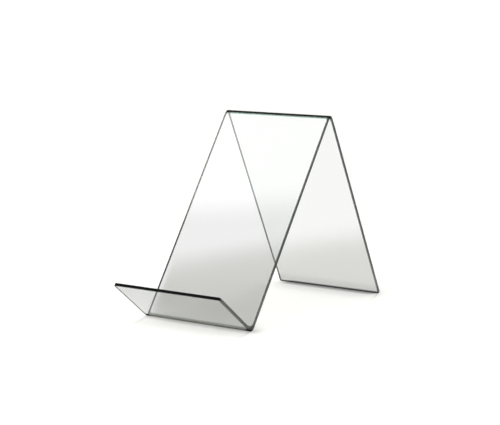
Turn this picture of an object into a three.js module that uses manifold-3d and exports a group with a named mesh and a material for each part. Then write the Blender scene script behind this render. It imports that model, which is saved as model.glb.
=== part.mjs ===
// A clear acrylic stand that shows a photo album leaning back at an easy reading angle.
//
// The stand is one strip of flat sheet, heated along two lines and bent. The first bend, the fold, turns up
// a lip that carries the album's lower edge. The second bend, the ridge, turns the sheet down behind into a
// rear panel that props the front panel up. It stands on the round underside of the fold and on the lower
// edge of the rear panel. Nothing on it is glued, screwed or hinged.
//
// Units are millimetres. +Z is up, the album faces -Y, and X runs across the sheet. The origin is on the
// table, under the middle of the stand.

import * as THREE from "three";
import { mergeVertices } from "three/addons/utils/BufferGeometryUtils.js";
import Module from "manifold-3d";

const wasm = await Module();
wasm.setup();

// ---------------------------------------------------------------- driving dimensions
// The sheet. Panel lengths run along the middle of its thickness, to where the flat panels would meet.
const SHEET_WIDTH = 125;
const SHEET_THICKNESS = 3;
const LIP_LENGTH = 63;
const FRONT_LENGTH = 234.7;

// The bends. The inside radius of both is what a hot wire leaves in sheet of this thickness.
const BEND_INSIDE_RADIUS = 2;
const FRONT_SLOPE = THREE.MathUtils.degToRad(55.9); // front panel above the table
const LIP_TO_FRONT_ANGLE = THREE.MathUtils.degToRad(86.2); // between the lip and the front panel
const RIDGE_ANGLE = THREE.MathUtils.degToRad(60.5); // between the front and rear panels

// The four free corners, two on the lip and two on the rear panel, are rounded off.
const CORNER_RADIUS = 1.5;

// How finely the curves are faceted.
const BEND_SEGMENTS = 24;
const CORNER_SEGMENTS = 12;

// A cutter reaches this far past what it cuts.
const CUT_MARGIN = 2;

// ---------------------------------------------------------------- side view of the sheet's middle line
// Points in the side view are (y, z). A panel's direction is the way the sheet runs, from lip to foot.
const HALF_THICKNESS = SHEET_THICKNESS / 2;
const MIDDLE_RADIUS = BEND_INSIDE_RADIUS + HALF_THICKNESS;
const OUTSIDE_RADIUS = BEND_INSIDE_RADIUS + SHEET_THICKNESS;

const heading = (angle) => new THREE.Vector2(Math.cos(angle), Math.sin(angle));

const frontDirection = heading(FRONT_SLOPE);
const lipDirection = heading(FRONT_SLOPE + LIP_TO_FRONT_ANGLE - Math.PI);
const rearDirection = heading(FRONT_SLOPE + RIDGE_ANGLE - Math.PI);

// The normal on a panel's upper side: the album's side of the lip and of the front panel.
const upperNormal = (direction) => new THREE.Vector2(-direction.y, direction.x);

const pointAlong = (start, direction, distance) => start.clone().addScaledVector(direction, distance);

// The corner of the fold lies at the origin of the side view until the stand is set down on the table.
const foldCorner = new THREE.Vector2(0, 0);
const lipEnd = pointAlong(foldCorner, lipDirection, -LIP_LENGTH);
const ridgeCorner = pointAlong(foldCorner, frontDirection, FRONT_LENGTH);

// The centre of a bend lies on the line that halves the angle between its two panels.
function bendCentre(corner, inward, angle) {
  return pointAlong(corner, inward, MIDDLE_RADIUS / Math.sin(angle / 2));
}

const foldInward = heading(FRONT_SLOPE + LIP_TO_FRONT_ANGLE / 2);
const ridgeInward = heading(FRONT_SLOPE + Math.PI + RIDGE_ANGLE / 2);
const foldCentre = bendCentre(foldCorner, foldInward, LIP_TO_FRONT_ANGLE);
const ridgeCentre = bendCentre(ridgeCorner, ridgeInward, RIDGE_ANGLE);

// The rear panel ends square, with its underside edge level with the bottom of the fold.
const tableHeight = foldCentre.y - OUTSIDE_RADIUS;
const footNormal = upperNormal(rearDirection);
const footDrop = ridgeCorner.y - tableHeight - HALF_THICKNESS * footNormal.y;
const REAR_LENGTH = footDrop / -rearDirection.y;
const footEnd = pointAlong(ridgeCorner, rearDirection, REAR_LENGTH);

// ---------------------------------------------------------------- solids
function toSolid(geometry) {
  geometry.deleteAttribute("normal");
  geometry.deleteAttribute("uv");
  const merged = mergeVertices(geometry, 1e-5);
  return new wasm.Manifold(
    new wasm.Mesh({
      numProp: 3,
      vertProperties: merged.attributes.position.array,
      triVerts: Uint32Array.from(merged.index.array),
    }),
  );
}

function toGeometry(solid) {
  const mesh = solid.getMesh();
  const geometry = new THREE.BufferGeometry();
  geometry.setAttribute("position", new THREE.BufferAttribute(Float32Array.from(mesh.vertProperties), 3));
  geometry.setIndex(new THREE.BufferAttribute(Uint32Array.from(mesh.triVerts), 1));
  geometry.computeVertexNormals();
  return geometry;
}

// The outline of the bent sheet in side view: across the lip's end, along the upper side to the foot, and
// back underneath.
function sheetOutline() {
  const lipNormal = upperNormal(lipDirection);
  const lipAngle = lipNormal.angle();
  const frontAngle = upperNormal(frontDirection).angle();
  const rearAngle = footNormal.angle();
  const lipTop = pointAlong(lipEnd, lipNormal, HALF_THICKNESS);
  const footTop = pointAlong(footEnd, footNormal, HALF_THICKNESS);
  const footUnder = pointAlong(footEnd, footNormal, -HALF_THICKNESS);
  const lipUnder = pointAlong(lipEnd, lipNormal, -HALF_THICKNESS);

  // The upper side is inside the fold and outside the ridge. The underside is the other way round.
  const outline = new THREE.Shape();
  outline.moveTo(lipUnder.x, lipUnder.y);
  outline.lineTo(lipTop.x, lipTop.y);
  outline.absarc(
    foldCentre.x, foldCentre.y, BEND_INSIDE_RADIUS, lipAngle + Math.PI, frontAngle + Math.PI, false,
  );
  outline.absarc(ridgeCentre.x, ridgeCentre.y, OUTSIDE_RADIUS, frontAngle, rearAngle, true);
  outline.lineTo(footTop.x, footTop.y);
  outline.lineTo(footUnder.x, footUnder.y);
  outline.absarc(ridgeCentre.x, ridgeCentre.y, BEND_INSIDE_RADIUS, rearAngle, frontAngle, false);
  outline.absarc(
    foldCentre.x, foldCentre.y, OUTSIDE_RADIUS, frontAngle + Math.PI, lipAngle + Math.PI, true,
  );
  outline.closePath();
  return outline;
}

// The side view runs along X, from one long edge of the sheet to the other.
function bentStrip() {
  const geometry = new THREE.ExtrudeGeometry(sheetOutline(), {
    depth: SHEET_WIDTH,
    bevelEnabled: false,
    curveSegments: BEND_SEGMENTS / 2,
  });
  const sideView = new THREE.Matrix4().makeBasis(
    new THREE.Vector3(0, 1, 0),
    new THREE.Vector3(0, 0, 1),
    new THREE.Vector3(1, 0, 0),
  );
  geometry.translate(0, 0, -SHEET_WIDTH / 2);
  geometry.applyMatrix4(sideView);
  return toSolid(geometry);
}

// What is cut off one free corner: the square outside a quarter circle. `side` is -1 or 1 along X, `end` is
// the middle of the panel's free end, and `outward` is the way the panel runs towards that end.
function cornerCutter(side, end, outward) {
  const scrap = new THREE.Shape();
  scrap.moveTo(CORNER_RADIUS, 0);
  scrap.lineTo(CORNER_RADIUS + CUT_MARGIN, 0);
  scrap.lineTo(CORNER_RADIUS + CUT_MARGIN, CORNER_RADIUS + CUT_MARGIN);
  scrap.lineTo(0, CORNER_RADIUS + CUT_MARGIN);
  scrap.absarc(0, 0, CORNER_RADIUS, Math.PI / 2, 0, true);
  const depth = SHEET_THICKNESS + 2 * CUT_MARGIN;
  const geometry = new THREE.ExtrudeGeometry(scrap, {
    depth,
    bevelEnabled: false,
    curveSegments: CORNER_SEGMENTS / 2,
  });
  geometry.translate(0, 0, -depth / 2);

  // The scrap's first axis points to the sheet's side and its second to the panel's end.
  const alongSide = new THREE.Vector3(side, 0, 0);
  const alongPanel = new THREE.Vector3(0, outward.x, outward.y);
  const throughSheet = new THREE.Vector3().crossVectors(alongSide, alongPanel);
  const roundCentre = pointAlong(end, outward, -CORNER_RADIUS);
  const place = new THREE.Matrix4().makeBasis(alongSide, alongPanel, throughSheet);
  place.setPosition(side * (SHEET_WIDTH / 2 - CORNER_RADIUS), roundCentre.x, roundCentre.y);
  geometry.applyMatrix4(place);
  return toSolid(geometry);
}

function bentSheetGeometry() {
  let solid = bentStrip();
  for (const side of [-1, 1]) {
    solid = solid.subtract(cornerCutter(side, lipEnd, lipDirection.clone().negate()));
    solid = solid.subtract(cornerCutter(side, footEnd, rearDirection));
  }
  const geometry = toGeometry(solid);

  // Set down on the table, with the origin under the middle of its depth.
  geometry.computeBoundingBox();
  const middle = geometry.boundingBox.getCenter(new THREE.Vector3());
  geometry.translate(0, -middle.y, -tableHeight);
  return geometry;
}

// ---------------------------------------------------------------- the stand
const clearAcrylic = new THREE.MeshStandardMaterial({
  color: 0xe6edea,
  roughness: 0.04,
  metalness: 0,
  transparent: true,
  opacity: 0.3,
});

const bentSheet = new THREE.Mesh(bentSheetGeometry(), clearAcrylic);
bentSheet.name = "bent_acrylic_sheet";

const albumStand = new THREE.Group();
albumStand.add(bentSheet);

export default albumStand;
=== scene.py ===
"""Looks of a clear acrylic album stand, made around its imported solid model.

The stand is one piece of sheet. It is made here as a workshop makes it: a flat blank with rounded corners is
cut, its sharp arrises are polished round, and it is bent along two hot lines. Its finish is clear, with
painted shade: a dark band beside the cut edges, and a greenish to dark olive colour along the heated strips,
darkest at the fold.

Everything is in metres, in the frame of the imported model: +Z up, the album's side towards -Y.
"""

import logging
import math
from dataclasses import dataclass, field
from enum import Enum

import bmesh
import bpy
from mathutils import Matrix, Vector


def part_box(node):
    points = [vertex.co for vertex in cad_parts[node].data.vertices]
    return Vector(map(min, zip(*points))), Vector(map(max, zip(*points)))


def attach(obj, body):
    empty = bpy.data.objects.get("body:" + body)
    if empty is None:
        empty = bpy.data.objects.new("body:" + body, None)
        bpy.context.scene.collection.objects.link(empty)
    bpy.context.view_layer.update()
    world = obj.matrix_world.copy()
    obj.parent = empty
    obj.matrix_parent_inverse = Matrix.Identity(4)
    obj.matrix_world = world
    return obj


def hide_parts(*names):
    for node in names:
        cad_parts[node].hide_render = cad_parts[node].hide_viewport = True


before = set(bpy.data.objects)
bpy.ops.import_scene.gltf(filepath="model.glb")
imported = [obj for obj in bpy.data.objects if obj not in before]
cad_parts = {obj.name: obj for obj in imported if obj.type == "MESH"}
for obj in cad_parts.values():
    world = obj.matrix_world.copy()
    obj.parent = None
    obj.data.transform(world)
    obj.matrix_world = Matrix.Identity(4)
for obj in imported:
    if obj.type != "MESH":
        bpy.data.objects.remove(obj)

Socket = bpy.types.NodeSocket
Outputs = bpy.types.NodeOutputs
Value = float | Socket
Colour = tuple[float, float, float, float]
Place = tuple[float, float, float]

LOG = logging.getLogger("album_stand")
MM = 0.001
WHITE: Colour = (1.0, 1.0, 1.0, 1.0)
SHEET_NODE = "bent_acrylic_sheet"

# The sheet's own attributes: how hot each point was made, and how far it lies from the cut rim.
HEAT = "bend_heat"
RIM_GAP = "rim_gap"

# How hot a line is made, as a share of the hotter one. Heat also picks a strip's painted shade:
# pale green up to WARM, dark olive at HOT.
HOT = 1.0
WARM = 0.92

# Where the fold's round underside and the foot's lower edge touch the table, and how far to either side.
FOLD_LINE = -89.9 * MM
FOOT_LINE = 137 * MM
CONTACT_HALF = 62 * MM
WHOLE_LINE = (-CONTACT_HALF, CONTACT_HALF)
LEFT_END = (-CONTACT_HALF, -CONTACT_HALF)
RIGHT_END = (CONTACT_HALF, CONTACT_HALF)


class Side(Enum):
    """The two faces of the sheet, by the way a bend closes: +1 towards the album, -1 towards the table."""

    ALBUM = 1
    UNDER = -1


class Run(Enum):
    """Which way along the sheet a bend carries it away from the front panel."""

    TO_LIP = -1
    TO_FOOT = 1


class Rays(Enum):
    """Light Path outputs by which the materials tell rays apart."""

    CAMERA = "Is Camera Ray"
    GLOSSY = "Is Glossy Ray"
    TRANSMISSION = "Is Transmission Ray"
    SHADOW = "Is Shadow Ray"
    DIFFUSE_DEPTH = "Diffuse Depth"
    GLOSSY_DEPTH = "Glossy Depth"


class Seen(Enum):
    """The kinds of ray, by their names in SeenRay, that the table's contact shades are made for."""

    OPENLY = "camera"
    THROUGH = "straight"
    MIRRORED = "mirrored"


class Graph:
    """A thin helper for building node trees: adds nodes, sets their plain inputs and links the rest."""

    def __init__(self, tree: bpy.types.NodeTree) -> None:
        """Keep the tree to build in: that of a material, a world or a Geometry Nodes group."""
        self.tree = tree

    def add(self, kind: str, inputs: dict | None = None, **settings: object) -> bpy.types.Node:
        """Add one node.

        Args:
            kind: The node's type name.
            inputs: Input name or index to a plain value or to an output socket to link.
            **settings: Attributes of the node itself, such as operation.

        Returns:
            The new node.
        """
        node = self.tree.nodes.new(kind)
        for name, value in settings.items():
            setattr(node, name, value)
        for key, value in (inputs or {}).items():
            self._fill(node.inputs[key], value)
        return node

    def _fill(self, socket: Socket, value: object) -> None:
        """Give an input its value.

        Args:
            socket: The input.
            value: A plain value to set, or an output socket to link.
        """
        if isinstance(value, Socket):
            self.tree.links.new(value, socket)
        else:
            socket.default_value = value

    def math(self, operation: str, *values: Value, clamp: bool = False) -> Socket:
        """Add a Math node.

        Args:
            operation: The Math node's operation.
            *values: Numbers or sockets, in input order.
            clamp: Whether the result is held between 0 and 1.

        Returns:
            The node's output socket.
        """
        inputs = dict(enumerate(values))
        return self.add("ShaderNodeMath", inputs, operation=operation, use_clamp=clamp).outputs[0]

    def smooth(self, value: Value, low: Value, high: Value, start: float = 0.0, end: float = 1.0) -> Socket:
        """Add a Map Range node that eases from one value to another.

        Args:
            value: What is mapped.
            low: Where the change starts.
            high: Where it ends.
            start: The result up to low.
            end: The result from high on.

        Returns:
            The node's output socket.
        """
        inputs = {"Value": value, "From Min": low, "From Max": high, "To Min": start, "To Max": end}
        return self.add("ShaderNodeMapRange", inputs, interpolation_type="SMOOTHSTEP").outputs[0]

    def axes(self, vector: Socket) -> Outputs:
        """Give a vector's parts: X, Y and Z."""
        return self.add("ShaderNodeSeparateXYZ", {0: vector}).outputs

    def length(self, vector: Socket) -> Socket:
        """Give a vector's length."""
        return self.add("ShaderNodeVectorMath", {0: vector}, operation="LENGTH").outputs["Value"]

    def colours(self, share: Socket, first: Colour | Socket, second: Colour | Socket) -> Socket:
        """Add a Mix node for colours.

        Args:
            share: How much of the second colour there is, from 0 to 1.
            first: A colour or a colour socket.
            second: A colour or a colour socket.

        Returns:
            The node's colour output.
        """
        mix = self.add("ShaderNodeMix", {"Factor": share}, data_type="RGBA")
        for name, value in (("A", first), ("B", second)):
            socket = next(item for item in mix.inputs if item.name == name and item.type == "RGBA")
            self._fill(socket, value)
        return next(item for item in mix.outputs if item.type == "RGBA")


def new_material(name: str) -> tuple[bpy.types.Material, Graph]:
    """Make a material without nodes.

    Args:
        name: The material's name.

    Returns:
        The material, and the helper to build its node tree with.
    """
    material = bpy.data.materials.new(name)
    material.use_nodes = True
    material.node_tree.nodes.clear()
    return material, Graph(material.node_tree)


def new_object(name: str, data: bpy.types.ID) -> bpy.types.Object:
    """Put a mesh, a lamp or a camera into the scene.

    Args:
        name: The object's name.
        data: What it holds.

    Returns:
        An object at the origin.
    """
    made = bpy.data.objects.new(name, data)
    bpy.context.scene.collection.objects.link(made)
    return made


@dataclass(frozen=True)
class ClearAcrylic:
    """Clear cast acrylic: glass-like faces, polished cut edges, and a tint that only long paths show.

    Real cut edges and bends look dark because they gather light from dark surroundings. The band just inside
    the cut edges, which is wider at a bend's two ends, and the heated strips' colour are painted shade that
    stands in for that. They are much darker than acrylic is.
    """

    name: str = "clear_acrylic"
    ior: float = 1.49
    body_colour: Colour = (0.948, 0.947, 0.943, 1.0)
    absorbed_colour: Colour = (0.12, 0.49, 0.46, 1.0)
    absorption_per_metre: float = 8.0
    face_roughness: float = 0.004
    smear_size: float = 24 * MM
    edge_roughness: float = 0.045
    edge_reach: float = 0.12 * MM
    rim_shade_colour: Colour = (0.06, 0.072, 0.069, 1.0)
    rim_band_start: float = 0.04 * MM
    rim_band_full: float = 0.7 * MM
    rim_band_end: float = 1.05 * MM
    bend_end_full: float = 1.0 * MM
    bend_end_reach: float = 2.8 * MM
    bend_end_heat: tuple[float, float] = (0.5, 0.9)
    strip_shade_from_heat: float = 0.8
    warm_strip_shade: Colour = (0.66, 0.83, 0.77, 1.0)
    hot_strip_shade: Colour = (0.3, 0.285, 0.22, 1.0)
    ripple_size: float = 9 * MM
    ripple_depth: float = 0.004 * MM
    polish_size: float = 0.9 * MM
    polish_depth: float = 0.006 * MM
    shadow_face_on: float = 0.98
    shadow_grazing: float = 0.88
    shadow_grazing_from: float = 0.35
    shadow_edge: float = 0.35
    shadow_bend: float = 0.5

    def build(self) -> bpy.types.Material:
        """Make the material.

        Returns:
            A material whose glass lets soft light through to the table, as the real sheet does.
        """
        material, graph = new_material(self.name)
        place = graph.add("ShaderNodeTexCoord").outputs["Object"]
        gap = graph.add("ShaderNodeAttribute", attribute_name=RIM_GAP).outputs["Fac"]
        heat = graph.add("ShaderNodeAttribute", attribute_name=HEAT).outputs["Fac"]
        edge = graph.smooth(gap, 0.0, self.edge_reach, 1.0, 0.0)
        wear = graph.math("MULTIPLY", self._noise(graph, place, self.smear_size, 3.0), self.face_roughness)
        sheet = graph.add(
            "ShaderNodeBsdfPrincipled",
            {
                "Base Color": self._body(graph, gap, heat),
                "Roughness": graph.math("MULTIPLY_ADD", edge, self.edge_roughness, wear),
                "IOR": self.ior,
                "Transmission Weight": 1.0,
                "Normal": self._relief(graph, place, edge, heat),
            },
        )
        through = graph.add("ShaderNodeBsdfTransparent", {"Color": self._shadow_colour(graph, edge, heat)})
        lamp_ray = graph.add("ShaderNodeLightPath").outputs[Rays.SHADOW.value]
        surface = graph.add("ShaderNodeMixShader", {0: lamp_ray, 1: sheet.outputs[0], 2: through.outputs[0]})
        inside = graph.add(
            "ShaderNodeVolumeAbsorption",
            {"Color": self.absorbed_colour, "Density": self.absorption_per_metre},
        )
        graph.add("ShaderNodeOutputMaterial", {"Surface": surface.outputs[0], "Volume": inside.outputs[0]})
        return material

    def _body(self, graph: Graph, gap: Socket, heat: Socket) -> Socket:
        """Give the faces' colour: clear, but darker beside the cut edges and on the heated strips.

        Args:
            graph: The material's tree.
            gap: How far each point is from the cut rim.
            heat: How hot each point was made.

        Returns:
            A colour socket. All its darkening is painted shade: the band beside the cut rim and at a bend's
            ends, and on a heated strip pale green, or dark olive where it was made hottest.
        """
        # Painted shade: a dark band just inside the cut rim, and wider dark patches at the bends' ends.
        band = graph.math(
            "MULTIPLY",
            graph.smooth(gap, 0.0, self.rim_band_start),
            graph.smooth(gap, self.rim_band_full, self.rim_band_end, 1.0, 0.0),
        )
        at_end = graph.smooth(gap, self.bend_end_full, self.bend_end_reach, 1.0, 0.0)
        at_end = graph.math("MULTIPLY", at_end, graph.smooth(heat, *self.bend_end_heat))
        dark = graph.math("MAXIMUM", band, at_end)
        # Painted shade on the heated strips: pale green, and dark olive where heat is full, as at the fold.
        warm = graph.smooth(heat, self.strip_shade_from_heat, WARM)
        hot = graph.smooth(heat, WARM, HOT)
        clear = graph.colours(warm, self.body_colour, self.warm_strip_shade)
        clear = graph.colours(hot, clear, self.hot_strip_shade)
        return graph.colours(dark, clear, self.rim_shade_colour)

    def _relief(self, graph: Graph, place: Socket, edge: Socket, heat: Socket) -> Socket:
        """Give the normal: faint ripples where the sheet was heated, and polishing marks on its cut edges.

        Args:
            graph: The material's tree.
            place: Object coordinates.
            edge: 1 on a cut edge, 0 on a face.
            heat: How hot each point was made.

        Returns:
            A normal socket.
        """
        ripple = graph.math("MULTIPLY", self._noise(graph, place, self.ripple_size, 1.0), heat)
        ripple = graph.math("MULTIPLY", ripple, self.ripple_depth)
        polish = graph.math("MULTIPLY", self._noise(graph, place, self.polish_size, 2.0), edge)
        height = graph.math("MULTIPLY_ADD", polish, self.polish_depth, ripple)
        return graph.add("ShaderNodeBump", {"Strength": 1.0, "Distance": 1.0, "Height": height}).outputs[0]

    def _noise(self, graph: Graph, place: Socket, size: float, detail: float) -> Socket:
        """Add a noise texture.

        Args:
            graph: The material's tree.
            place: Object coordinates.
            size: The size of its blotches.
            detail: How many finer layers it has.

        Returns:
            Its output, centred on zero.
        """
        noise = graph.add("ShaderNodeTexNoise", {"Vector": place, "Scale": 1 / size, "Detail": detail})
        return graph.math("SUBTRACT", noise.outputs[0], 0.5)

    def _shadow_colour(self, graph: Graph, edge: Socket, heat: Socket) -> Socket:
        """Give what a lamp's ray keeps at one surface: most of it face on, little at an edge or a bend.

        Args:
            graph: The material's tree.
            edge: 1 on a cut edge, 0 on a face.
            heat: How hot each point was made.

        Returns:
            A grey colour socket.
        """
        grazing = graph.add("ShaderNodeLayerWeight", {"Blend": 0.5}).outputs["Facing"]
        kept = graph.smooth(grazing, self.shadow_grazing_from, 1.0, self.shadow_face_on, self.shadow_grazing)
        kept = graph.math("MULTIPLY", kept, graph.smooth(edge, 0.0, 1.0, 1.0, self.shadow_edge))
        kept = graph.math("MULTIPLY", kept, graph.smooth(heat, 0.5, 1.0, 1.0, self.shadow_bend))
        return graph.add("ShaderNodeCombineColor", {0: kept, 1: kept, 2: kept}).outputs[0]


@dataclass(frozen=True)
class HotLine:
    """One line along which the flat sheet is heated and bent.

    soak is how far past the bend, on either side, the sheet gets the line's full heat, and so its full
    painted shade.
    """

    name: str
    run: Run
    closes_to: Side
    inner_angle: float
    heat: float
    soak: float

    @property
    def turn(self) -> float:
        """The angle that the sheet turns through, in radians."""
        return math.pi - self.inner_angle


@dataclass
class BentSheet:
    """The whole stand: a flat blank of clear sheet, bent at the fold and at the ridge."""

    name: str = "bent_sheet"
    thickness: float = 3 * MM
    lip_length: float = 63 * MM
    front_length: float = 234.7 * MM
    inside_radius: float = 2 * MM
    front_slope: float = math.radians(55.9)
    fold_angle: float = math.radians(86.2)
    ridge_angle: float = math.radians(60.5)
    corner_radius: float = 1.5 * MM
    corner_points: int = 6
    arris_radius: float = 0.12 * MM
    arris_segments: int = 3
    arris_from: float = math.radians(50)
    bend_rows: int = 28
    warm_rows: int = 8
    cell: float = 7 * MM
    draw_in: float = 0.3 * MM
    draw_in_reach: float = 2.5 * MM
    heat_spread: float = 6 * MM
    fold_soak: float = 0.4 * MM
    finish: ClearAcrylic = field(default_factory=ClearAcrylic)

    def __post_init__(self) -> None:
        """Work out the flat blank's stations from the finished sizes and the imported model's box."""
        low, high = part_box(SHEET_NODE)
        self.low, self.high = Vector(low), Vector(high)
        self.width = self.high.x - self.low.x
        self.middle_radius = self.inside_radius + self.thickness / 2
        self.fold = HotLine("Fold", Run.TO_LIP, Side.ALBUM, self.fold_angle, HOT, self.fold_soak)
        self.ridge = HotLine("Ridge", Run.TO_FOOT, Side.UNDER, self.ridge_angle, WARM, 0.0)
        self.fold_arc = self.middle_radius * self.fold.turn
        self.ridge_arc = self.middle_radius * self.ridge.turn
        fold_set_back = self.middle_radius / math.tan(self.fold_angle / 2)
        ridge_set_back = self.middle_radius / math.tan(self.ridge_angle / 2)
        self.fold_start = 0.0
        self.ridge_start = self.front_length - fold_set_back - ridge_set_back
        self.lip_end = -self.fold_arc - (self.lip_length - fold_set_back)
        self.foot_end = self.ridge_start + self.ridge_arc + self._rear_length() - ridge_set_back

    def _rear_length(self) -> float:
        """Work out the rear panel's length that sets its foot level with the underside of the fold.

        Returns:
            The length from the corner of the ridge to the foot, along the middle of the sheet.
        """
        rear_slope = math.pi - self.front_slope - self.ridge_angle
        bisector = self.front_slope + self.fold_angle / 2
        centre = self.middle_radius / math.sin(self.fold_angle / 2) * math.sin(bisector)
        corner_above_table = self.middle_radius + self.thickness / 2 - centre
        ridge_height = corner_above_table + self.front_length * math.sin(self.front_slope)
        foot_middle = self.thickness / 2 * math.cos(rear_slope)
        return (ridge_height - foot_middle) / math.sin(rear_slope)

    def build(self) -> bpy.types.Object:
        """Cut, polish and bend the sheet.

        Returns:
            The finished piece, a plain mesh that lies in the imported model's place.
        """
        blank = self._blank_object()
        arris = blank.modifiers.new("Arris", "BEVEL")
        arris.width = self.arris_radius
        arris.segments = self.arris_segments
        arris.limit_method = "ANGLE"
        arris.angle_limit = self.arris_from
        arris.use_clamp_overlap = True
        bend = blank.modifiers.new("Bend", "NODES")
        bend.node_group = self._bend_tree()
        self._set_inputs(bend)
        blank.modifiers.new("Normals", "WEIGHTED_NORMAL")
        graph = bpy.context.evaluated_depsgraph_get()
        mesh = bpy.data.meshes.new_from_object(blank.evaluated_get(graph))
        bpy.data.objects.remove(blank)
        self._set_down(mesh)
        mesh.name = self.name
        return new_object(self.name, mesh)

    def _stations(self) -> list[float]:
        """Work out where the blank's rows lie, close together through both bends and beside the fold.

        Returns:
            Places along the sheet, from the lip's end to the foot's.
        """
        first, last = self.lip_end + self.corner_radius, self.foot_end - self.corner_radius
        warm, warm_cell = self.heat_spread, self.heat_spread / self.warm_rows
        ridge_end = self.ridge_start + self.ridge_arc
        stations = [self.lip_end, first]
        for end, pitch in (
            (-self.fold_arc - warm, self.cell),
            (-self.fold_arc, warm_cell),
            (self.fold_start, self.fold_arc / self.bend_rows),
            (warm, warm_cell),
            (self.ridge_start, self.cell),
            (ridge_end, self.ridge_arc / self.bend_rows),
            (last, self.cell),
        ):
            stations += self._spread(stations[-1], end, pitch)[1:]
        return [*stations, self.foot_end]

    def _columns(self) -> list[float]:
        """Give where the blank's columns lie across the sheet."""
        inner = self.width / 2 - self.corner_radius
        return [-self.width / 2, *self._spread(-inner, inner, self.cell), self.width / 2]

    def _spread(self, start: float, end: float, pitch: float) -> list[float]:
        """Give evenly spaced places from start to end, no further apart than pitch."""
        count = max(1, math.ceil(abs(end - start) / pitch - 1e-6))
        return [start + (end - start) * i / count for i in range(count + 1)]

    def _blank_object(self) -> bpy.types.Object:
        """Make the flat blank: x across it, y along it, z through it.

        Returns:
            An object with a closed box-like mesh whose four corners are rounded in plan.
        """
        mesh = bpy.data.meshes.new("blank")
        shape = bmesh.new()
        rows, columns = self._stations(), self._columns()
        layers = [self._layer(shape, rows, columns, side) for side in (Side.UNDER, Side.ALBUM)]
        for under, over in zip(self._rim(*layers[0]), self._rim(*layers[1]), strict=True):
            shape.faces.new((under[0], under[1], over[1], over[0]))
        bmesh.ops.recalc_face_normals(shape, faces=shape.faces)
        shape.to_mesh(mesh)
        shape.free()
        for face in mesh.polygons:
            face.use_smooth = True
        return new_object("blank", mesh)

    def _layer(
        self, shape: bmesh.types.BMesh, rows: list[float], columns: list[float], side: Side
    ) -> tuple[dict, dict, int, int]:
        """Add one face of the blank.

        Args:
            shape: The mesh that is being made.
            rows: The places of the rows, the first and last at the sheet's ends.
            columns: The places of the columns, the first and last at its sides.
            side: Which face of the sheet this is.

        Returns:
            The grid of vertices by column and row, without the four square corners, the four arcs that round
            them, by corner, and the highest column and row numbers.
        """
        height = side.value * self.thickness / 2
        last_row, last_column = len(rows) - 1, len(columns) - 1
        grid, arcs = {}, {}
        for j, y in enumerate(rows):
            for i, x in enumerate(columns):
                if j in (0, last_row) and i in (0, last_column):
                    arcs[i > 0, j > 0] = self._arc(shape, x, y, height)
                else:
                    grid[i, j] = shape.verts.new((x, y, height))
        for j in range(last_row):
            for i in range(last_column):
                ring = []
                for at in ((i, j), (i + 1, j), (i + 1, j + 1), (i, j + 1)):
                    ring += [grid[at]] if at in grid else self._turned(arcs[at[0] > 0, at[1] > 0], at)
                shape.faces.new(ring if side is Side.ALBUM else ring[::-1])
        return grid, arcs, last_column, last_row

    def _arc(self, shape: bmesh.types.BMesh, x: float, y: float, height: float) -> list:
        """Add the points that round one corner of a face, from its side to its end.

        Args:
            shape: The mesh that is being made.
            x: The square corner's place across the sheet.
            y: Its place along the sheet.
            height: The face's height.

        Returns:
            The arc's vertices, without its two ends, which the grid already holds.
        """
        across, along = math.copysign(1, x), 1 if y > self.fold_start else -1
        centre_x, centre_y = x - across * self.corner_radius, y - along * self.corner_radius
        points = []
        for k in range(1, self.corner_points):
            turn = math.pi / 2 * k / self.corner_points
            place = (
                centre_x + across * self.corner_radius * math.cos(turn),
                centre_y + along * self.corner_radius * math.sin(turn),
                height,
            )
            points.append(shape.verts.new(place))
        return points

    def _turned(self, arc: list, at: tuple[int, int]) -> list:
        """Put an arc's vertices in the order in which a counter-clockwise ring of its cell meets them."""
        right, far = at[0] > 0, at[1] > 0
        return arc if right == far else arc[::-1]

    def _rim(self, grid: dict, arcs: dict, last_column: int, last_row: int) -> list[tuple]:
        """List the edges round a face as pairs of vertices, counter-clockwise from above.

        Args:
            grid: The vertices by column and row.
            arcs: The vertices that round each corner.
            last_column: The highest column number.
            last_row: The highest row number.

        Returns:
            Pairs of neighbouring vertices, one pair for each edge of the rim.
        """
        loop = [grid[i, 0] for i in range(1, last_column)]
        loop += self._turned(arcs[True, False], (last_column, 0))
        loop += [grid[last_column, j] for j in range(1, last_row)]
        loop += self._turned(arcs[True, True], (last_column, last_row))
        loop += [grid[i, last_row] for i in range(last_column - 1, 0, -1)]
        loop += self._turned(arcs[False, True], (0, last_row))
        loop += [grid[0, j] for j in range(last_row - 1, 0, -1)]
        loop += self._turned(arcs[False, False], (0, 0))
        return list(zip(loop, loop[1:] + loop[:1], strict=True))

    def _bend_tree(self) -> bpy.types.NodeTree:
        """Build the Geometry Nodes tree that bends a flat blank.

        Returns:
            A tree with named inputs for the hot lines, their angles and the bend radius. It also marks how
            hot each point was made and how far it is from the cut rim.
        """
        tree = bpy.data.node_groups.new("BendSheet", "GeometryNodeTree")
        tree.interface.new_socket("Blank", in_out="INPUT", socket_type="NodeSocketGeometry")
        for name in self._input_values():
            tree.interface.new_socket(name, in_out="INPUT", socket_type="NodeSocketFloat")
        tree.interface.new_socket("Finish", in_out="INPUT", socket_type="NodeSocketMaterial")
        tree.interface.new_socket("Stand", in_out="OUTPUT", socket_type="NodeSocketGeometry")
        graph = Graph(tree)
        given = graph.add("NodeGroupInput").outputs
        sheet = self._mark_rim(graph, given["Blank"], given)
        for line in (self.fold, self.ridge):
            sheet = self._bend_once(graph, sheet, line, given)
        tilt = graph.add("ShaderNodeCombineXYZ", {"X": given["Front Slope"]})
        raised = graph.add("GeometryNodeTransform", {"Geometry": sheet, "Rotation": tilt.outputs[0]})
        real = graph.add("GeometryNodeRealizeInstances", {"Geometry": raised.outputs[0]})
        plain = {"Geometry": real.outputs[0], "Material": given["Finish"]}
        dressed = graph.add("GeometryNodeSetMaterial", plain)
        graph.add("NodeGroupOutput", {"Stand": dressed.outputs[0]})
        return tree

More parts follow.
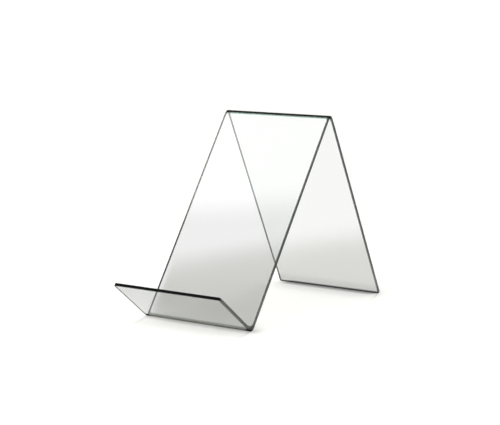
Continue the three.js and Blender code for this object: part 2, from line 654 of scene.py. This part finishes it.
    def _input_values(self) -> dict[str, float]:
        """List the bending tree's number inputs.

        Returns:
            Each input's name and value.
        """
        values = {
            "Sheet Width": self.width,
            "Sheet Thickness": self.thickness,
            "Lip End": self.lip_end,
            "Foot End": self.foot_end,
            "Middle Radius": self.middle_radius,
            "Front Slope": self.front_slope,
            "Draw In": self.draw_in,
            "Draw In Reach": self.draw_in_reach,
            "Heat Spread": self.heat_spread,
        }
        for line, start in ((self.fold, self.fold_start), (self.ridge, self.ridge_start)):
            values[f"{line.name} Start"] = start
            values[f"{line.name} Turn"] = line.turn
            values[f"{line.name} Heat"] = line.heat
            values[f"{line.name} Soak"] = line.soak
        return values

    def _set_inputs(self, modifier: bpy.types.NodesModifier) -> None:
        """Set the bending modifier's inputs by their identifiers.

        Args:
            modifier: The modifier, which already has its tree.
        """
        sockets = {item.name: item.identifier for item in modifier.node_group.interface.items_tree}
        for name, value in self._input_values().items():
            modifier[sockets[name]] = value
        modifier[sockets["Finish"]] = self.finish.build()

    def _place(self, graph: Graph) -> Outputs:
        """Give a point's place on the sheet, by axis."""
        return graph.axes(graph.add("GeometryNodeInputPosition").outputs[0])

    def _to_side(self, graph: Graph, x: Socket, given: Outputs) -> Socket:
        """Give how far a point at x is from the nearer side of the sheet."""
        half = graph.math("MULTIPLY", given["Sheet Width"], 0.5)
        return graph.math("SUBTRACT", half, graph.math("ABSOLUTE", x))

    def _mark_rim(self, graph: Graph, sheet: Socket, given: Outputs) -> Socket:
        """Store how far each point of the flat blank is from the cut rim.

        Args:
            graph: The tree.
            sheet: The flat blank's geometry.
            given: The tree's inputs.

        Returns:
            The geometry with the attribute.
        """
        x, y, _ = self._place(graph)
        to_lip_end = graph.math("SUBTRACT", y, given["Lip End"])
        to_foot_end = graph.math("SUBTRACT", given["Foot End"], y)
        nearest = graph.math("MINIMUM", to_lip_end, to_foot_end)
        nearest = graph.math("MINIMUM", self._to_side(graph, x, given), nearest)
        return self._store(graph, sheet, RIM_GAP, nearest)

    def _store(self, graph: Graph, sheet: Socket, name: str, value: Socket) -> Socket:
        """Store a number at each point of the geometry, and give the geometry."""
        inputs = {"Geometry": sheet, "Name": name, "Value": value}
        return graph.add("GeometryNodeStoreNamedAttribute", inputs).outputs[0]

    def _bend_once(self, graph: Graph, sheet: Socket, line: HotLine, given: Outputs) -> Socket:
        """Wrap the part of the sheet beyond a hot line round the bend, and turn the rest with it.

        Args:
            graph: The tree.
            sheet: The geometry so far, whose front panel still lies flat.
            line: The hot line.
            given: The tree's inputs.

        Returns:
            The bent geometry.
        """
        run, closes = line.run.value, line.closes_to.value
        radius, start, turn = given["Middle Radius"], given[f"{line.name} Start"], given[f"{line.name} Turn"]
        x, y, z = self._place(graph)
        arc = graph.math("MULTIPLY", radius, turn)
        beyond = graph.math("MULTIPLY", graph.math("SUBTRACT", y, start), run)
        wrapped = graph.math("MINIMUM", graph.math("MAXIMUM", beyond, 0.0), arc)
        after = graph.math("MAXIMUM", graph.math("SUBTRACT", beyond, arc), 0.0)
        angle = graph.math("DIVIDE", wrapped, radius)
        sine, cosine = graph.math("SINE", angle), graph.math("COSINE", angle)
        reach = graph.math("SUBTRACT", radius, graph.math("MULTIPLY", z, closes))
        forward = graph.math("MULTIPLY_ADD", after, cosine, graph.math("MULTIPLY", reach, sine))
        rise = graph.math("SUBTRACT", radius, graph.math("MULTIPLY", reach, cosine))
        rise = graph.math("MULTIPLY_ADD", after, sine, rise)
        new_y = graph.math("MULTIPLY_ADD", forward, run, start)
        new_z = graph.math("MULTIPLY", rise, closes)

        heat = self._heat(graph, beyond, arc, line, given)
        narrowed = self._draw_in(graph, x, z, heat, closes, given)
        moved = graph.add("ShaderNodeCombineXYZ", {"X": narrowed, "Y": new_y, "Z": new_z})
        selected = graph.add("FunctionNodeCompare", {"A": beyond, "B": 0.0}, operation="GREATER_THAN")
        earlier = graph.add("GeometryNodeInputNamedAttribute", {"Name": HEAT}).outputs[0]
        kept = self._store(graph, sheet, HEAT, graph.math("MAXIMUM", earlier, heat))
        bent = graph.add(
            "GeometryNodeSetPosition",
            {"Geometry": kept, "Selection": selected.outputs[0], "Position": moved.outputs[0]},
        )
        return bent.outputs[0]

    def _heat(self, graph: Graph, beyond: Socket, arc: Socket, line: HotLine, given: Outputs) -> Socket:
        """Work out how hot a line makes a point: fully through its bend, and less and less beside it.

        Args:
            graph: The tree.
            beyond: How far the point lies past the bend's start.
            arc: The bend's length.
            line: The hot line.
            given: The tree's inputs.

        Returns:
            The heat, from 0 to the line's own.
        """
        soak = given[f"{line.name} Soak"]
        before = graph.math("SUBTRACT", graph.math("MULTIPLY", beyond, -1.0), soak)
        past = graph.math("SUBTRACT", graph.math("SUBTRACT", beyond, arc), soak)
        outside = graph.math("MAXIMUM", before, past)
        share = graph.smooth(outside, 0.0, given["Heat Spread"], 1.0, 0.0)
        return graph.math("MULTIPLY", share, given[f"{line.name} Heat"])

    def _draw_in(
        self, graph: Graph, x: Socket, z: Socket, heat: Socket, closes: int, given: Outputs
    ) -> Socket:
        """Pull the stretched side of a bend in a little at the sheet's two sides.

        Args:
            graph: The tree.
            x: The point's place across the sheet.
            z: Its place through the sheet.
            heat: How hot the line makes it.
            closes: Which face the bend closes to.
            given: The tree's inputs.

        Returns:
            The new place across the sheet.
        """
        reach = graph.math("MULTIPLY", given["Draw In Reach"], -1.0)
        near = graph.math("EXPONENT", graph.math("DIVIDE", self._to_side(graph, x, given), reach))
        depth = graph.math("DIVIDE", graph.math("MULTIPLY", z, -closes), given["Sheet Thickness"])
        outer = graph.math("ADD", depth, 0.5, clamp=True)
        pull = graph.math("MULTIPLY", outer, given["Draw In"])
        pull = graph.math("MULTIPLY", graph.math("MULTIPLY", heat, near), pull)
        return graph.math("SUBTRACT", x, graph.math("MULTIPLY", graph.math("SIGN", x), pull))

    def _set_down(self, mesh: bpy.types.Mesh) -> None:
        """Move the bent sheet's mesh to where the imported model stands.

        Args:
            mesh: The bent sheet, its fold still at the frame's origin.
        """
        places = [vertex.co for vertex in mesh.vertices]
        y_middle = (min(p.y for p in places) + max(p.y for p in places)) / 2
        bottom = min(p.z for p in places)
        shift = Vector((0, (self.low.y + self.high.y) / 2 - y_middle, self.low.z - bottom))
        for vertex in mesh.vertices:
            vertex.co += shift


class SeenRay:
    """Sorts the rays that reach the floor or the air, so that the sheet shows as it does between black flags.

    Each attribute is 1 for its own rays and 0 for the others. camera rays come straight from the camera.
    by_sheet rays came by way of the sheet, and are straight, mirrored or turned_inside: those that were
    reflected inside the sheet before they left it. Light that the floor gives to the scene is none of these.
    """

    def __init__(self, graph: Graph) -> None:
        """Add the Light Path node and work out the kinds of ray.

        Args:
            graph: The stage material or world that asks.
        """
        path = graph.add("ShaderNodeLightPath").outputs
        through = path[Rays.TRANSMISSION.value]
        by_sheet = graph.math("MAXIMUM", through, path[Rays.GLOSSY.value])
        lights_floor = graph.math("GREATER_THAN", path[Rays.DIFFUSE_DEPTH.value], 0.5)
        self.camera = path[Rays.CAMERA.value]
        self.by_sheet = graph.math("MULTIPLY", by_sheet, graph.math("SUBTRACT", 1.0, lights_floor))
        reflected = graph.math("GREATER_THAN", path[Rays.GLOSSY_DEPTH.value], 0.5)
        turned = graph.math("MULTIPLY", reflected, through)
        self.turned_inside = graph.math("MULTIPLY", self.by_sheet, turned)
        self.mirrored = graph.math("MULTIPLY", self.by_sheet, graph.math("SUBTRACT", reflected, turned))
        self.straight = graph.math("MULTIPLY", self.by_sheet, graph.math("SUBTRACT", 1.0, reflected))


@dataclass(frozen=True)
class ContactShade:
    """How dark the table is close to one stretch of a line of contact, for one kind of ray.

    The shade is full up to the first distance of fade and gone at the second. At the sheet's left side only
    left_share of it is there.
    """

    kind: Seen
    line: float
    stretch: tuple[float, float]
    depth: float
    fade: tuple[float, float]
    left_share: float = 1.0

    def light_left(self, graph: Graph, axes: Outputs, ray: SeenRay) -> Socket:
        """Work out the share of light left at a place on the table.

        Args:
            graph: The floor material's tree.
            axes: The place, by axis.
            ray: The kinds of ray.

        Returns:
            A share from 0 to 1, which is 1 in the open and for other kinds of ray.
        """
        start, end = self.stretch
        before = graph.math("SUBTRACT", start, axes["X"])
        past = graph.math("SUBTRACT", axes["X"], end)
        beside = graph.math("MAXIMUM", graph.math("MAXIMUM", before, past), 0.0)
        across = graph.math("SUBTRACT", axes["Y"], self.line)
        away = graph.length(graph.add("ShaderNodeCombineXYZ", {"X": beside, "Y": across}).outputs[0])
        lost = graph.smooth(away, *self.fade, self.depth, 0.0)
        lost = graph.math("MULTIPLY", lost, graph.smooth(axes["X"], -CONTACT_HALF, 0.0, self.left_share, 1.0))
        lost = graph.math("MULTIPLY", lost, getattr(ray, self.kind.value))
        return graph.math("SUBTRACT", 1.0, lost)


@dataclass(frozen=True)
class EdgeShadow:
    """The short shadow that a polished side edge of the sheet casts where it meets the table, seen openly.

    It starts at a corner, runs along heading, a unit vector, and widens as it fades.
    """

    start: tuple[float, float]
    heading: tuple[float, float]
    length: float
    narrow: float
    wide: float
    depth: float
    starts_over: tuple[float, float] = (-2 * MM, 1 * MM)

    def light_left(self, graph: Graph, axes: Outputs, ray: SeenRay) -> Socket:
        """Work out the share of light left at a place on the table.

        Args:
            graph: The floor material's tree.
            axes: The place, by axis.
            ray: The kinds of ray.

        Returns:
            A share from 0 to 1, which is 1 outside the shadow and for other kinds of ray.
        """
        x = graph.math("SUBTRACT", axes["X"], self.start[0])
        y = graph.math("SUBTRACT", axes["Y"], self.start[1])
        ahead_x, ahead_y = self.heading
        along = graph.math("MULTIPLY_ADD", x, ahead_x, graph.math("MULTIPLY", y, ahead_y))
        across = graph.math("MULTIPLY_ADD", x, ahead_y, graph.math("MULTIPLY", y, -ahead_x))
        across = graph.math("ABSOLUTE", across)
        width = graph.smooth(along, 0.0, self.length, self.narrow, self.wide)
        lost = graph.smooth(across, 0.0, width, self.depth, 0.0)
        lost = graph.math("MULTIPLY", lost, graph.smooth(along, *self.starts_over))
        lost = graph.math("MULTIPLY", lost, graph.smooth(along, 0.0, self.length, 1.0, 0.0))
        return graph.math("SUBTRACT", 1.0, graph.math("MULTIPLY", lost, ray.camera))


@dataclass(frozen=True)
class StudioFloor:
    """A plain white table top that keeps soft shadows, and looks greyer near the stand through the sheet.

    A sheet that lets the lamps through hardly shades the table, so its contact shades and edge shadows are
    painted here, and so is the grey that the table shows through the sheet near the stand. A pair of
    distances gives where a change starts and where it ends.
    """

    radius: float = 40.0
    colour: tuple[float, float, float] = (0.8, 0.788, 0.747)
    through_tone: Colour = (1.0, 1.02, 1.11, 1.0)
    mirrored_tone: Colour = (1.0, 0.98, 0.93, 1.0)
    # The camera sees more added white near the stand: painted light that hides the stand's faint soft
    # shadows.
    camera_near: float = 0.48
    camera_far: float = 0.4
    camera_reach: tuple[float, float] = (0.25, 0.6)
    oval_middle: tuple[float, float] = (0.02, -0.13)
    oval_stretch: float = 3.0
    oval_edge: tuple[float, float] = (0.14, 0.38)
    through_grey: float = 0.085
    through_white: float = 0.35
    open_side_place: Place = (-0.0625, -0.089, 0.0)
    open_side_normal: Place = (-0.815, -0.58, 0.0)
    open_side_fade: float = 12 * MM
    open_side_reach: tuple[float, float] = (0.25, 0.4)
    # Painted shade: what the sheet mirrors of the table under the lip is made dimmer.
    under_lip: tuple[float, float] = (-0.125, -0.05)
    under_lip_level: float = 0.1
    mirrored_near: float = 1.3
    mirrored_far: float = 1.2
    mirrored_reach: tuple[float, float] = (0.2, 0.35)
    shadows: tuple[ContactShade | EdgeShadow, ...] = (
        ContactShade(Seen.OPENLY, FOLD_LINE, (-0.02, 0.04), 0.22, (0.0, 0.046)),
        ContactShade(Seen.OPENLY, FOLD_LINE, (-0.05, 0.06), 0.22, (0.005, 0.017)),
        ContactShade(Seen.OPENLY, FOOT_LINE, (-0.035, 0.04), 0.25, (0.0, 0.05)),
        ContactShade(Seen.OPENLY, FOOT_LINE, (-0.048, 0.052), 0.6, (0.002, 0.014)),
        ContactShade(Seen.THROUGH, FOOT_LINE, (-0.051, CONTACT_HALF), 0.92, (0.009, 0.018)),
        ContactShade(Seen.THROUGH, FOLD_LINE, (-CONTACT_HALF, 0.05), 0.84, (0.006, 0.019), left_share=0.65),
        ContactShade(Seen.MIRRORED, FOOT_LINE, WHOLE_LINE, 0.9, (0.005, 0.012)),
        ContactShade(Seen.MIRRORED, FOLD_LINE, WHOLE_LINE, 0.5, (0.0015, 0.0045), left_share=0.6),
        ContactShade(Seen.MIRRORED, FOOT_LINE, RIGHT_END, 1.0, (0.006, 0.013)),
        ContactShade(Seen.MIRRORED, FOLD_LINE, RIGHT_END, 1.0, (0.003, 0.008)),
        ContactShade(Seen.MIRRORED, FOLD_LINE, LEFT_END, 1.0, (0.003, 0.006)),
        EdgeShadow((-CONTACT_HALF, FOLD_LINE - 2 * MM), (0.39, -0.92), 0.045, 0.0012, 0.005, 0.24),
        EdgeShadow((CONTACT_HALF, FOLD_LINE - 2 * MM), (0.26, -0.965), 0.045, 0.0015, 0.009, 0.26),
        EdgeShadow((CONTACT_HALF, FOOT_LINE - 2 * MM), (0.4, -0.917), 0.055, 0.0015, 0.006, 0.26),
    )

    def build(self) -> bpy.types.Object:
        """Make the floor.

        Returns:
            A round disc at table height, under the stand.
        """
        mesh = bpy.data.meshes.new("floor")
        shape = bmesh.new()
        bmesh.ops.create_circle(shape, cap_ends=True, radius=self.radius, segments=96)
        shape.to_mesh(mesh)
        shape.free()
        mesh.materials.append(self._material())
        floor = new_object("floor", mesh)
        return floor

    def _material(self) -> bpy.types.Material:
        """Make a matt white surface with the white that the camera and the sheet see added.

        Returns:
            The material, which is black for rays turned inside the sheet.
        """
        material, graph = new_material("floor")
        place = graph.add("ShaderNodeTexCoord").outputs["Object"]
        axes = graph.axes(place)
        ray = SeenRay(graph)
        shade = 1.0
        for shadow in self.shadows:
            shade = graph.math("MULTIPLY", shade, shadow.light_left(graph, axes, ray))
        paint = graph.add("ShaderNodeVectorMath", {0: self.colour, "Scale": shade}, operation="SCALE")
        matt = graph.add("ShaderNodeBsdfDiffuse", {"Color": paint.outputs[0]})
        added = graph.math("MULTIPLY", self._added_white(graph, place, axes, ray), shade)
        tone = graph.colours(ray.straight, WHITE, self.through_tone)
        tone = graph.colours(ray.mirrored, tone, self.mirrored_tone)
        glow = graph.add("ShaderNodeEmission", {"Color": tone, "Strength": added})
        white = graph.add("ShaderNodeAddShader", {0: matt.outputs[0], 1: glow.outputs[0]})

        level = graph.math("MULTIPLY", ray.mirrored, self.mirrored_far)
        far_glow = graph.add("ShaderNodeEmission", {"Color": WHITE, "Strength": level})
        far = graph.smooth(graph.length(place), *self.mirrored_reach)
        far_mirrored = graph.math("MULTIPLY", ray.mirrored, far)
        share = graph.math("ADD", ray.turned_inside, far_mirrored)
        surface = graph.add("ShaderNodeMixShader", {0: share, 1: white.outputs[0], 2: far_glow.outputs[0]})
        graph.add("ShaderNodeOutputMaterial", {"Surface": surface.outputs[0]})
        return material

    def _added_white(self, graph: Graph, place: Socket, axes: Outputs, ray: SeenRay) -> Socket:
        """Work out how much white is added for each kind of ray.

        Args:
            graph: The material's tree.
            place: Object coordinates.
            axes: The same, by axis.
            ray: The kinds of ray.

        Returns:
            The strength of the added white, before contact shades.
        """
        openly = graph.smooth(graph.length(place), *self.camera_reach, self.camera_near, self.camera_far)
        added = graph.math("MULTIPLY", ray.camera, openly)
        added = graph.math("MULTIPLY_ADD", ray.straight, self._through(graph, place), added)
        near = graph.smooth(axes["Y"], *self.under_lip, self.under_lip_level, self.mirrored_near)
        return graph.math("MULTIPLY_ADD", ray.mirrored, near, added)

    def _through(self, graph: Graph, place: Socket) -> Socket:
        """Work out the white added for rays straight through the sheet.

        Args:
            graph: The material's tree.
            place: Object coordinates.

        Returns:
            Little in a long oval behind and below the stand, where the grey left is painted shade of the
            stand, and more outside it and past the stand's open side.
        """
        middle_x, middle_y = self.oval_middle
        squeeze = 1.0 / self.oval_stretch
        back = (-middle_x, -middle_y * squeeze, 0.0)
        fit = {"Vector": place, "Location": back, "Scale": (1.0, squeeze, 1.0)}
        oval = graph.add("ShaderNodeMapping", fit).outputs[0]
        in_oval = graph.smooth(graph.length(oval), *self.oval_edge, 1.0, 0.0)
        ends = {0: place, 1: self.open_side_place}
        offset = graph.add("ShaderNodeVectorMath", ends, operation="SUBTRACT").outputs[0]
        facing = {0: offset, 1: self.open_side_normal}
        beside = graph.add("ShaderNodeVectorMath", facing, operation="DOT_PRODUCT").outputs["Value"]
        opened = graph.smooth(beside, -self.open_side_fade, 0.0)
        near_corner = graph.smooth(graph.length(offset), *self.open_side_reach, 1.0, 0.0)
        opened = graph.math("MULTIPLY", opened, near_corner)
        grey = graph.math("MULTIPLY", in_oval, graph.math("SUBTRACT", 1.0, opened))
        return graph.smooth(grey, 0.0, 1.0, self.through_white, self.through_grey)


@dataclass(frozen=True)
class StripLight:
    """A long soft light overhead, in front and to the left, that only shows mirrored in the front panel."""

    middle: Place = (-0.5, -0.29, 0.8)
    turned: float = math.radians(7)
    half_length: float = 0.45
    half_width: float = 0.184
    fade: float = 0.08
    level: float = 4.2

    def build(self) -> None:
        """Make the light: a flat panel whose brightness fades at its sides, seen by mirrored rays alone."""
        mesh = bpy.data.meshes.new("strip_light")
        shape = bmesh.new()
        corners = ((-1, -1), (1, -1), (1, 1), (-1, 1))
        ring = [shape.verts.new((x * self.half_length, y * self.half_width, 0.0)) for x, y in corners]
        shape.faces.new(ring)
        shape.to_mesh(mesh)
        shape.free()
        mesh.materials.append(self._material())
        panel = new_object("strip_light", mesh)
        panel.location = self.middle
        panel.rotation_euler.z = self.turned
        for kind in ("camera", "diffuse", "transmission", "shadow", "volume_scatter"):
            setattr(panel, f"visible_{kind}", False)

    def _material(self) -> bpy.types.Material:
        """Make the panel's glow.

        Returns:
            A material that shines most in the panel's middle.
        """
        material, graph = new_material("strip_light")
        place = graph.add("ShaderNodeTexCoord").outputs["Object"]
        axes = graph.axes(place)
        glow = self.level
        for axis, half in (("X", self.half_length), ("Y", self.half_width)):
            off_middle = graph.math("ABSOLUTE", axes[axis])
            glow = graph.math("MULTIPLY", glow, graph.smooth(off_middle, half - self.fade, half, 1.0, 0.0))
        light = graph.add("ShaderNodeEmission", {"Color": WHITE, "Strength": glow})
        graph.add("ShaderNodeOutputMaterial", {"Surface": light.outputs[0]})
        return material


@dataclass(frozen=True)
class StudioAir:
    """The studio round the table: white at the horizon, dark overhead, and plain soft light for the rest."""

    ambient: float = 0.45
    horizon: float = 1.2
    mirrored_horizon: float = 0.35
    overhead: float = 0.2
    band: tuple[float, float] = (0.12, 0.42)
    turned_level: float = 0.22
    turned_colour: Colour = (0.85, 1.0, 0.95, 1.0)

    def build(self) -> None:
        """Set the world."""
        world = bpy.data.worlds.new("studio")
        world.use_nodes = True
        world.node_tree.nodes.clear()
        bpy.context.scene.world = world
        graph = Graph(world.node_tree)
        direction = graph.add("ShaderNodeTexCoord").outputs["Generated"]
        rise = graph.axes(direction)["Z"]
        ray = SeenRay(graph)
        clear = graph.smooth(rise, *self.band, self.horizon, self.overhead)
        mirrored = graph.smooth(rise, *self.band, self.mirrored_horizon, self.overhead)
        strength = graph.math("MULTIPLY", graph.math("SUBTRACT", 1.0, ray.by_sheet), self.ambient)
        strength = graph.math("MULTIPLY_ADD", ray.turned_inside, self.turned_level, strength)
        strength = graph.math("MULTIPLY_ADD", ray.straight, clear, strength)
        strength = graph.math("MULTIPLY_ADD", ray.mirrored, mirrored, strength)
        strength = graph.math("MAXIMUM", strength, ray.camera)
        tone = graph.colours(ray.turned_inside, WHITE, self.turned_colour)
        light = graph.add("ShaderNodeBackground", {"Color": tone, "Strength": strength})
        graph.add("ShaderNodeOutputWorld", {"Surface": light.outputs[0]})


@dataclass(frozen=True)
class SoftSun:
    """A large, far lamp: even over the whole table, with soft parallel shadows."""

    name: str
    azimuth: float
    elevation: float
    spread: float
    strength: float

    def build(self) -> None:
        """Make the lamp, hidden from reflections as a lamp behind a flag is."""
        lamp = bpy.data.lights.new(self.name, "SUN")
        lamp.angle = self.spread
        lamp.energy = self.strength
        sun = new_object(self.name, lamp)
        level, rise = math.cos(self.elevation), math.sin(self.elevation)
        towards = Vector((level * math.sin(self.azimuth), -level * math.cos(self.azimuth), rise))
        sun.location = towards * 3
        sun.rotation_euler = towards.to_track_quat("Z", "Y").to_euler()
        sun.visible_glossy = False
        sun.visible_transmission = False


@dataclass(frozen=True)
class Camera:
    """The camera, on a long lens, a little above the table and to the right of the stand's front."""

    place: Place = (0.9202, -1.2801, 0.3224)
    target: Place = (-0.00217, -0.00269, 0.0964)
    lens_mm: float = 115.87
    sensor_mm: float = 36.0

    def build(self) -> None:
        """Make the camera and make it the scene's own."""
        data = bpy.data.cameras.new("camera")
        data.lens = self.lens_mm
        data.sensor_width = self.sensor_mm
        data.clip_start = 0.05
        data.clip_end = 200.0
        camera = new_object("camera", data)
        camera.location = self.place
        look = Vector(self.target) - Vector(self.place)
        camera.rotation_euler = look.to_track_quat("-Z", "Y").to_euler()
        bpy.context.scene.camera = camera


def build_studio() -> None:
    """Make the floor, the air, the lamps and the camera."""
    StudioFloor().build()
    StudioAir().build()
    StripLight().build()
    SoftSun("back_light", math.radians(198), math.radians(53), math.radians(12), 0.6).build()
    SoftSun("top_light", math.radians(-60), math.radians(75), math.radians(40), 0.7).build()
    Camera().build()


def main() -> None:
    """Build the stand and its studio, and report each piece."""
    logging.basicConfig(level=logging.INFO, format="%(name)s: %(message)s")
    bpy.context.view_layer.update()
    bpy.context.scene.view_settings.view_transform = "Standard"
    build_studio()

    sheet = BentSheet()
    piece = sheet.build()
    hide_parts(SHEET_NODE)
    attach(piece, "root")
    LOG.info("%s: %d faces", piece.name, len(piece.data.polygons))


if __name__ == "__main__":
    main()
